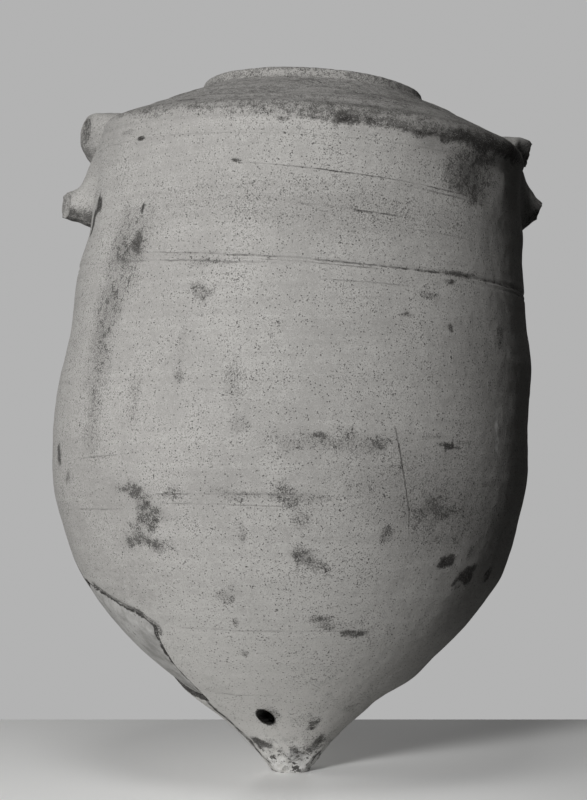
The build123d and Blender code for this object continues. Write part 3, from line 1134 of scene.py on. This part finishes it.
patch_line = (
    smooth_line(FOOT_TOP, DRAIN_TOP, 3)
    + smooth_line(DRAIN_TOP, CONE_TOP, 3)[1:]
    + smooth_line(CONE_TOP, HAUNCH_TOP, 3)[1:]
)
patch_ways = facing(patch_line, FOOT_TOP[2], HAUNCH_TOP[2])
patch_front = [place - way * PATCH_RECESS for place, way in zip(patch_line, patch_ways)]
patch_back = [place - way * WALL for place, way in zip(patch_line, patch_ways)][::-PATCH_BACK_ROWS]


def fill_wear(co, turn, along):
    """Soft waves of a plaster surface smoothed by hand, sunk towards its edge."""
    waves = 1.1 * noise.noise(co * 16) + 0.4 * noise.noise(co * 60)
    return (waves - broken_edge(co)[1]) * MM


def fill_soil(co, turn, along, radius):
    """Dirt in the crack round the plaster, and a rubbed band of it down the fill."""
    crack = 1.5 * smooth((6 + 2 * noise.noise(co * 90) - broken_edge(co)[0]) / 3)
    rubbed = abs(degrees(turn) + RUBBED_TURN + 3 * noise.noise(co * 50))
    return max(crack, 0.6 * smooth(1.6 - rubbed / 3))


patch_bm, patch_layers = thrown(patch_front, patch_ways, patch_back)
wear(patch_bm, patch_layers, fill_wear, fill_soil)
patch = placed("restored_patch", patch_bm, toned_plaster("restored_fill"))
cut(patch, break_prism(PATCH_SHARE), "INTERSECT")
patch.data.set_sharp_from_angle(angle=CREASE)


# Stage: a plain pale floor, soft light from the front left with a weak one beside it,
# others from above and behind, and a pale room. Away from the jar the floor throws little light
# back up at it.
FLOOR_HALF = (2.2, 1.6)
FLOOR_BACK = 0.53
FLOOR_COLOUR = (0.85, 0.85, 0.84, 1)
SHADED_FLOOR = (0.1, 0.1, 0.1, 1)
PALE_SPOT = (-0.35, -0.15, 0)
floor_bm = bmesh.new()
bmesh.ops.create_grid(floor_bm, x_segments=1, y_segments=1, size=1)
bmesh.ops.scale(floor_bm, vec=(*FLOOR_HALF, 1), verts=floor_bm.verts)
bmesh.ops.translate(floor_bm, vec=(0, FLOOR_BACK - FLOOR_HALF[1], 0), verts=floor_bm.verts)
floor_mesh = bpy.data.meshes.new("floor")
floor_bm.to_mesh(floor_mesh)
floor_bm.free()
floor = bpy.data.objects.new("floor", floor_mesh)
bpy.context.scene.collection.objects.link(floor)
pale, floor_shader, ground = matt("pale_floor")
spot = ground.node("ShaderNodeTexCoord", {}, {}, "Object")
from_spot = ground.node(
    "ShaderNodeVectorMath", {"operation": "DISTANCE"}, {0: spot, 1: PALE_SPOT}, "Value"
)
looked_at = ground.node("ShaderNodeLightPath", {}, {}, "Is Camera Ray")
far = from_spot.step(0.35, 0.8) * (1 - looked_at)
floor_tone = far.mixed(FLOOR_COLOUR, SHADED_FLOOR)
pale.node_tree.links.new(floor_tone.socket, floor_shader.inputs["Base Color"])
floor_shader.inputs["Roughness"].default_value = 0.9
floor_mesh.materials.append(pale)

AIM = Vector((0, 0, 0.5))


def lamp(name, azimuth, elevation, distance, wide, tall, level):
    """Soft rectangular lamp, turned from the front and raised, aimed at the middle of the jar.
    At level 1 a surface that faces it shows its colour as it is written."""
    light = bpy.data.lights.new(name, "AREA")
    light.shape = "RECTANGLE"
    light.size = wide
    light.size_y = tall
    light.energy = level * (pi * distance) ** 2
    made = bpy.data.objects.new(name, light)
    turn, rise = radians(azimuth), radians(elevation)
    flat = Vector((sin(turn), -cos(turn), 0)) * cos(rise)
    made.location = AIM + (flat + Vector((0, 0, sin(rise)))) * distance
    made.rotation_euler = (AIM - made.location).to_track_quat("-Z", "Y").to_euler()
    bpy.context.scene.collection.objects.link(made)


lamp("key", azimuth=-22, elevation=11, distance=3.2, wide=0.5, tall=0.6, level=0.91)
lamp("fill", azimuth=-95, elevation=0, distance=3, wide=1.2, tall=1.6, level=0.22)
lamp("top", azimuth=-12, elevation=62, distance=3, wide=1, tall=1, level=0.22)
lamp("back", azimuth=174, elevation=-4, distance=3.6, wide=0.6, tall=0.6, level=0.45)

ROOM_LIGHT = (0.008, 0.008, 0.008, 1)
ROOM_SEEN = (0.45, 0.45, 0.45, 1)
world = bpy.data.worlds.new("room")
bpy.context.scene.world = world
world.use_nodes = True
room = Wire(world.node_tree)
background = world.node_tree.nodes["Background"]
seen = 0.0
for ray in ("Is Camera Ray", "Is Glossy Ray", "Is Transmission Ray"):
    seen = room.maths("MAXIMUM", seen, room.node("ShaderNodeLightPath", {}, {}, ray))
shade = seen.mixed(ROOM_LIGHT, ROOM_SEEN)
world.node_tree.links.new(shade.socket, background.inputs["Color"])
